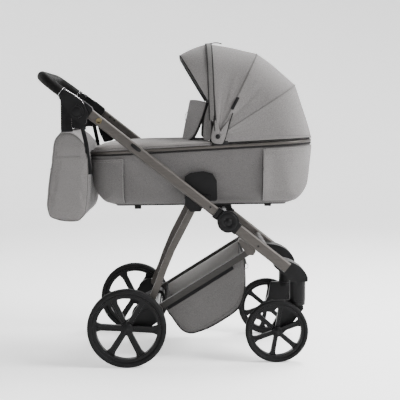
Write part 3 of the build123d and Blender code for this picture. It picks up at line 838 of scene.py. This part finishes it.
def bag_trim():
    """Piping round both gables, a zip over the top, pocket seams, straps and the hooks that they hang from."""
    x0, y = BAG_LOW.x, BAG_HIGH.y
    gable = mm((-349, 511), (-324, 536), (-317, 585), (-313, 640), (-312, 695), (-317, 742), (-328, 784),
        (-346, 811), (-370, 829), (-410, 831), (-429, 806), (-438, 750), (-446, 689), (-455, 625), (-460, 561),
        (-453, 526), (-418, 512))
    for tag, side in SIDES:
        bag_line(f"bag_piping_{tag}", [(x, side * (y - 0.004), z) for x, z in gable], 200, 0.0004, 0.0019,
            BASKET_CLOTH, True)
        seam = [(-0.436, side * (y + 0.01), 0.735), (-0.38, side * (y + 0.01), 0.742), (-0.32, side * (y + 0.01),
            0.738)]
        bag_line(f"bag_yoke_{tag}", seam, 60, 0.0006, 0.0013, CLOTH)
        path = mm((-387, side * 217, 941), (-387, side * 217.2, 880), (-387, side * 217.2, 848),
            (-386.8, side * 216.8, 838), (-386.5, side * 215, 829))
        path = curve(path, 40)
        web = strap(f"bag_strap_{tag}_web", path, 0.042, 0.0024, WEB, "bag", up=AWAY)
        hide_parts(f"bag_strap_{tag}")
        corners = mm((-369, 905), (-369.5, 846), (-352, 842), (-334, 840.5), (-319, 845), (-315, 872), (-330, 905))
        edge = curve([(x, side * 0.2165, z) for x, z in corners], 36, closed=True)
        middle = edge.mean(0)
        tab = np.array([middle + (edge - middle) * share for share in (0.02, 0.5, 0.85, 1.0)])
        sheet_of(f"bag_hook_{tag}", tab, WEB, 0.003, "bag", close_cols=True)
        for edge in (-0.0175, 0.0175):
            line = path[:34] + np.array((edge, side * 0.0014, 0))
            stitches(f"bag_strap_{tag}_sewing_{'fore' if edge > 0 else 'aft'}", line, "bag", THREAD, 0.003, 0.003)
    zip_path = [(-0.391, v, 0.84) for v in np.linspace(-0.18, 0.18, 15)]
    path = on_surface(bag, curve(zip_path, 90), 0.0009)
    strap("bag_zip", path, 0.012, 0.0018, WEB, "bag", up=(1, 0, 0.001))
    for n, offset in enumerate((-0.01, 0.01)):
        sweep(f"bag_zip_edge_{n}", path + np.array((offset, 0, -0.0004)), ring_section(0.0011, 6), CLOTH, "bag")
    front = [(x0, v, 0.7 + 0.006 * cos(v * 22)) for v in np.linspace(-0.17, 0.17, 9)]
    path = on_surface(bag, curve(front, 80), 0.0008)
    cord("bag_pocket_hem", path, 0.0022, DARK_TRIM, "bag")
    for n, v in enumerate((-0.17, 0.17)):
        path = on_surface(bag, curve([(x0, v, z) for z in (0.7, 0.64, 0.58, 0.54)], 40), 0.0006)
        cord(f"bag_pocket_side_{n}", path, 0.0014, DARK_TRIM, "bag", up=AWAY)


bag_trim()


# ---- basket

BASKET = mm((-42, 213), (-41, 200), (-34, 177), (-20, 158), (2, 126), (22, 105), (50, 96), (80, 103), (112, 115),
    (146, 133), (178, 153), (203, 170), (224, 191), (239, 228), (246, 268), (246, 305), (244, 345), (242, 388))
BASKET_HALF = 0.1755


def basket_top(x):
    """Height of the basket's sloping mouth."""
    return 0.174 + 0.63 * (x + 0.1)


def basket():
    """The sling from rim to rim, its two sides each with a pale inner sheet as painted light, and the seams, dark
    side bands and zip.
    """
    belly = curve([(x, 0, z) for x, z in BASKET], 64)
    rows = []
    middle = np.array((0.1, 0, 0.22))
    for v in np.linspace(-1, 1, 33):
        y = BASKET_HALF * v
        row = []
        for k, p in enumerate(belly):
            q = middle + (p - middle) * (1 - 0.012 * abs(v) ** 6)
            sag = 0.004 * (1 - v * v) * sin(pi * k / 63)
            crease = 0.0014 * ripple((p[0], y, p[2]), 0.06, 5.0)
            row.append((q[0], y, q[2] - sag + crease))
        rows.append(row)
    floor_cloth = sheet_of("basket_sling", np.array(rows), BASKET_CLOTH, 0.0028, "side_links")
    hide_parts("basket")
    for tag, side in SIDES:
        grid = []
        for t in np.linspace(0, 1, 13):
            row = []
            for k, p in enumerate(belly):
                mouth = basket_top(min(max(p[0], -0.042), 0.244)) + 0.001
                top = np.array((p[0], 0, mouth))
                low = np.array((p[0], 0, min(p[2], mouth)))
                q = low + (top - low) * t
                bulge = 0.0045 * sin(pi * min(1.0, t * 0.9 + 0.05)) + 0.0015 * ripple((q[0], t, q[2]), 0.05, 7.0)
                row.append((q[0], side * (BASKET_HALF - 0.0025 + bulge * (1 if t > 0 else 0)), q[2]))
            grid.append(row)
        sheet_of(f"basket_side_{tag}", np.array(grid), BASKET_CLOTH, 0.0026, "side_links")
        # A pale sheet inside each side, lighter than its cloth: painted light on the inner faces
        inner = np.array(grid)[1:] - (0, side * 0.0042, 0)
        sheet_of(f"basket_painted_light_inside_{tag}", inner, LINING, 0.0016, "side_links")
        for n, inset in enumerate((0.0, 0.01)):
            line = [(x - inset if x > 0.1 else x + inset * 0.6, side * (BASKET_HALF + 0.0012), z + inset * 0.75)
                for x, z in BASKET]
            if n:
                line = [p for p in line if p[0] > 0.1]
            path = curve(line, 120)
            cord(f"basket_seam_{tag}_{n}", path, 0.0017 if n else 0.0024, BASKET_CLOTH if n else DARK_TRIM,
                "side_links", slot="grey_fabric", up=AWAY)
        # A 20 mm dark strap along each side, just under the mouth and the side link
        hem = curve([(x, side * (BASKET_HALF + 0.0045), basket_top(x) - 0.022)
            for x in np.linspace(-0.036, 0.2, 12)], 90)
        strap(f"basket_dark_band_{tag}", hem, 0.02, 0.0036, WEB, "side_links", up=AWAY)
        top = curve([(x, side * BASKET_HALF, basket_top(x) - 0.001) for x in np.linspace(-0.04, 0.242, 12)], 90)
        cord(f"basket_top_binding_{tag}", top, 0.0028, WEB, "side_links", up=AWAY)
    for tag, x, low in (("front", 0.242, 0.39), ("rear", -0.042, 0.214)):
        rim = curve([(x, y, low - 0.003 - 0.006 * (1 - (y / 0.17) ** 2)) for y in np.linspace(-0.172, 0.172, 9)],
            60)
        strap(f"basket_rim_{tag}", rim, 0.018, 0.004, WEB, "side_links", up=(1, 0, 0))
    ring = [(0.252 + 0.0065 * cos(a), -0.15, 0.338 + 0.0085 * sin(a))
        for a in np.linspace(0, 2 * pi, 24, endpoint=False)]
    cord("basket_zip_ring", ring, 0.0011, STEEL, "side_links", closed=True, up=AWAY)
    tape = curve([(0.2465, -0.15, 0.366), (0.2485, -0.15, 0.356), (0.251, -0.15, 0.347)], 10)
    strap("basket_zip_tape", tape, 0.007, 0.0016, WEB, "side_links", up=AWAY)


basket()


def bag_webbing():
    """The straps from the handle's joints down behind the bag, and the tab under the left tube."""
    for tag, side in SIDES:
        path = mm((-341, side * 216, 874), (-334, side * 212, 850), (-327, side * 210, 818),
            (-319.5, side * 209, 782), (-315.5, side * 208, 745), (-311.5, side * 203, 710),
            (-307.5, side * 203, 678))
        path = curve(path, 60)
        band = strap(f"bag_web_{tag}", path, 0.015, 0.0024, WEB, None, up=(0.02, 1, 0))
        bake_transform(band)
    corners = mm((-322, 885), (-300, 869), (-276, 850), (-251, 830), (-247, 806), (-262, 785), (-280, 781),
        (-296, 777), (-302, 792), (-311, 810), (-320, 840))
    edge = curve([(x, 0.232, z) for x, z in corners], 40, closed=True)
    middle = edge.mean(0)
    rows = np.array([middle + (edge - middle) * share + np.array((0, 0.003 * (1 - share), 0))
        for share in (0.02, 0.4, 0.75, 1.0)])
    sheet_of("tube_tab", rows, WEB, 0.0022, "upper_frame", close_cols=True)


bag_webbing()


# ---- handlebar and frame details

TUBE_START = np.array((TUBE_LOW.x + 0.011, TUBE_HIGH.z - 0.0142))
TUBE_ANGLE = radians(-38.1)
TUBE_FACE = 0.2602  # how far out the flat side of a tube lies
GRIP_SIDE, GRIP_NECK = 0.245, np.array((-0.393, 0.962))
GRIP_RADIUS, GRIP_BEND = 0.018, 0.085


def on_tube(distance, up=0.0):
    """The (x, z) point on the upper tube's centre line, or up from it."""
    x, z = cos(TUBE_ANGLE), sin(TUBE_ANGLE)
    return TUBE_START + distance * np.array((x, z)) + up * np.array((-z, x))


def grip_details():
    """A thin bright ring, a black collar and the hand-sewn seam inside the grip."""
    low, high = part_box("handle_grip")
    radius, bend, neck = GRIP_RADIUS, GRIP_BEND, GRIP_NECK
    end = np.array((low.x + radius, high.z - radius))
    away = (end - neck) / np.linalg.norm(end - neck)
    rings = (("collar", -0.002, 0.0088, 0.0192, PLASTIC), ("ring", 0.0088, 0.0112, 0.0195, CHROME))
    for tag, side in SIDES:
        y = side * GRIP_SIDE
        for name, start, stop, r, material in rings:
            profile = [(start, r - 0.004), (start + 0.0004, r - 0.0006), (start + 0.001, r), (stop - 0.001, r),
                (stop - 0.0004, r - 0.0006), (stop, r - 0.004)]
            verts = []
            for k in range(48):
                a = 2 * pi * k / 48
                for d, q in profile:
                    c = neck + away * d + np.array((-away[1], away[0])) * q * sin(a)
                    verts.append((c[0], y + q * cos(a), c[1]))
            piece(f"grip_{name}_{tag}", verts, grid_faces(48, len(profile), True), material,
                "handlebar")
        if side > 0:
            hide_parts("handle_rings")
        top = mm((-383.5, 974.5), (-366, 965), (-344, 950.5), (-326, 936.5), (-319, 925))
        line = curve([(x, side * 0.2765, z + 0.0012) for x, z in top], 30)
        strap(f"joint_trim_{tag}", line, 0.0018, 0.0016, CHROME, "handlebar", up=AWAY)
    inner = radius * 0.985
    start = neck + away * 0.016
    straight = np.linalg.norm(end - start) - bend
    along = [(d, 0.0) for d in np.linspace(0, straight, 14)]
    along += [(straight + bend * sin(a), a) for a in np.linspace(0, pi / 2, 14)[1:]]
    inward = []
    for d, a in along:
        x, z = start + away * (d - inner * sin(a))
        inward.append((x, -GRIP_SIDE + bend * (1 - cos(a)) + inner * cos(a), z))
    seam = inward + [(x, -y, z) for x, y, z in reversed(inward)]
    seam = curve(seam, 300)
    sweep("grip_seam", seam, ring_section(0.0009, 6), GRIP, "handlebar", up=(-away[1], 0, away[0]))
    lift = np.array((-away[1], 0, away[0]))
    for n, offset in enumerate((-0.0032, 0.0032)):
        stitches(f"grip_stitches_{n}", seam + lift * offset, "handlebar", DARK_TRIM, 0.0036, 0.0026, 0.0008)


def rivet(name, x, z, side, out, radius, body, socket=False):
    """A domed rivet head, or a socket-head bolt, on an outboard face."""
    if socket:
        profile = [(0.0002, out + 0.0004), (radius * 0.45, out + 0.0004), (radius * 0.5, out + 0.0022),
            (radius * 0.9, out + 0.0024), (radius, out + 0.0014), (radius, out - 0.001)]
    else:
        profile = [(0.0002, out + 0.0018), (radius * 0.5, out + 0.0015), (radius * 0.85, out + 0.0008),
            (radius, out - 0.001)]
    return lathe(name, profile, (x, 0, z), side, CASTING, body, 24)


def raised(face, *profile):
    """A lathe profile of (radius, height over a face) in millimetres, in metres."""
    return [(r / 1000, face + h / 1000) for r, h in profile]


def frame_details():
    """Badge, plate, rivets, holes and hub caps on each side of the frame."""
    face = TUBE_FACE
    for tag, side in SIDES:
        x, z = on_tube(0.038)
        profile = raised(face, (0.2, 1), (7, 1), (7.8, 2), (10, 2.2), (10.8, 1.2), (10.8, -1))
        lathe(f"tube_badge_{tag}", profile, (x, 0, z), side, BRASS, "upper_frame", 40)
        long, tall = 0.021, 0.0072
        rim = []
        for a in np.linspace(0, 2 * pi, 40, endpoint=False):
            u = np.clip(cos(a) * 1.35, -1, 1) * (long - tall) + tall * cos(a)
            rim.append(on_tube(0.196 + u, 0.006 + tall * sin(a)))
        rows = []
        for share, out in ((1.0, face - 0.001), (1.0, face + 0.0012), (0.9, face + 0.0019), (0.5, face + 0.0017),
                (0.02, face + 0.0017)):
            centre = on_tube(0.196, 0.006)
            rows.append([(centre[0] + (q[0] - centre[0]) * share, side * out,
                centre[1] + (q[1] - centre[1]) * share) for q in rim])
        piece(f"tube_plate_{tag}", np.array(rows).reshape(-1, 3), grid_faces(5, 40, False, True), CASTING,
            "upper_frame")
        rivet(f"tube_rivet_{tag}", 0.118, 0.566, side, face, 0.0042, "upper_frame")
        rivet(f"front_rivet_{tag}", 0.287, 0.427, side, face, 0.0042, "front_chassis")
        for n, d in enumerate((0.03, 0.052)):
            x, z = on_tube(d, 0.007)
            lathe(f"tube_hole_{tag}_{n}", [(0.0002, 0.2394), (0.003, 0.2394), (0.0036, 0.2388)], (x, 0, z), side,
                CASTING, "upper_frame", 20)
        hub = mm((0.2, 270.4), (12, 270.6), (12.6, 268.8), (15.8, 268.8), (16.4, 270.2), (30, 269.6), (31.8, 268))
        lathe(f"fold_cap_{tag}", hub, (FOLD[0], 0, FOLD[1]), side, PLASTIC, "front_chassis", 48)
        button = mm((0.2, 285.2), (14, 285.1), (15, 284.3), (17.2, 284.3), (18.2, 285), (21.6, 284.6),
            (22.6, 283.8))
        lathe(f"button_cap_{tag}", button, (HANDLE[0], 0, HANDLE[1]), side, PLASTIC, f"handle_button_{tag}", 48)


BOLTS = 6


def wheel_details():
    """A hub cap with its ring of bolts and an axle end on each wheel."""
    for end, hub in (("rear", 21), ("front", 18)):
        for tag, side in SIDES:
            low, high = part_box(f"{end}_tyre_{tag}")
            x, z = (low.x + high.x) / 2, (low.z + high.z) / 2
            rim_low, rim_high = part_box(f"{end}_rim_{tag}")
            face = max(abs(rim_low.y), abs(rim_high.y))
            body = f"{end}_wheel_{tag}"
            cap = raised(face, (0.2, 3), (6, 2.8), (6.8, 1.8), (hub * 0.62, 1.6), (hub * 0.68, 0.4), (hub, 0.4),
                (hub + 1, -1))
            lathe(f"{end}_hub_cap_{tag}", cap, (x, 0, z), side, PLASTIC, body, 48)
            lathe(f"{end}_axle_end_{tag}", raised(face, (0.2, 3.6), (2.6, 3.4), (3.2, 2.4)), (x, 0, z), side,
                CASTING, body, 20)
            for n in range(BOLTS):
                a, r = 2 * pi * (n + 0.5) / BOLTS, hub / 1000 * 0.84
                rivet(f"{end}_bolt_{tag}_{n}", x + r * cos(a), z + r * sin(a), side, face + 0.0006, 0.0019, body,
                    True)


def brake_details():
    """The pedal's red pad with its bright ribs."""
    low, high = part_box("brake_pedal")
    y = (low.y + high.y) / 2
    pad = []
    for t in np.linspace(0, 1, 8):
        x = -0.192 + 0.04 * t
        z = 0.1835 - 0.0052 * t
        pad.append([(x, y + w, z + 0.001 * cos(w * 60)) for w in np.linspace(-0.028, 0.028, 9)])
    sheet_of("brake_pad", np.array(pad), RED, 0.003, "brake")
    for n in range(4):
        x = -0.188 + 0.01 * n
        z = 0.1856 - 0.0013 * n
        rib = curve([(x, y + w, z + 0.0004) for w in (-0.024, -0.008, 0.008, 0.024)], 12)
        sweep(f"brake_rib_{n}", rib, ring_section(0.0011, 6), STEEL, "brake", up=(0, 0, 1))


grip_details()
frame_details()
wheel_details()
brake_details()


# ---- metal and plastic of the frame

SLOT = {p["node"]: p["material_slot"] for p in frame["record"]["subparts"]}
for name, node in frame["nodes"].items():
    node.data.materials.clear()
    # The link tubes get the darker taupe copy, which paints shade on them
    node.data.materials.append(TAUPE_PAINTED_SHADE if name.startswith("link_tube") else FINISH[SLOT[name]][0])
    for face in node.data.polygons:
        face.material_index = 0


# ---- studio

FLOOR_RADIUS, FLAT_RADIUS, COVE = 8.0, 4.0, 0.35
CAMERA_PLACE, CAMERA_DIP, CAMERA_TURN = (0.02866, -3.452, 0.895), 0.0948, -0.0164
FOCAL_LENGTH, SENSOR = 82.37, 36.0
SKY = 0.24


def studio():
    """A pale floor that curves up far behind, three soft lamps, an even sky and the photo's camera."""
    count, rings = 96, 24
    verts = []
    for i in range(rings + 1):
        r = FLOOR_RADIUS * (i / rings)
        lift = 0.0 if r < FLAT_RADIUS else COVE * (r - FLAT_RADIUS) ** 2
        verts += [(r * cos(2 * pi * k / count), r * sin(2 * pi * k / count), lift) for k in range(count)]
    floor = piece("studio_floor", verts, grid_faces(rings + 1, count, False, True), FLOOR_PAINT)

    def lamp(name, place, aim, size, power, tint=(1, 1, 1)):
        data = bpy.data.lights.new(name, "AREA")
        data.shape, data.size, data.energy, data.color = "DISK", size, power, tint
        obj = placed(name, data)
        obj.location = place
        obj.rotation_euler = (Vector(aim) - Vector(place)).to_track_quat("-Z", "Y").to_euler()

    lamp("key", (3.3, -1.1, 2.7), (0.1, 0, 0.6), 1.8, 330)
    lamp("top", (1.3, 0.9, 3.8), (0, 0, 0.6), 2.0, 260)
    lamp("side", (-2.8, 0.6, 1.8), (0, 0, 0.6), 1.6, 22)

    world = bpy.data.worlds.new("studio")
    bpy.context.scene.world = world
    world.use_nodes = True
    sky = world.node_tree.nodes["Background"].inputs
    sky["Color"].default_value, sky["Strength"].default_value = (1, 1, 1, 1), SKY

    camera_data = bpy.data.cameras.new("camera")
    camera_data.sensor_width, camera_data.lens = SENSOR, FOCAL_LENGTH
    camera_data.clip_end = 60.0
    camera = placed("camera", camera_data)
    camera.location = CAMERA_PLACE
    camera.rotation_euler = (pi / 2 - CAMERA_DIP, 0, CAMERA_TURN)
    bpy.context.scene.camera = camera


FLOOR_PAINT = Nodes("studio_paper", (0.9, 0.9, 0.9), 0.9, Emission_Color=(1, 1, 1, 1),
    Emission_Strength=0.6).material
studio()
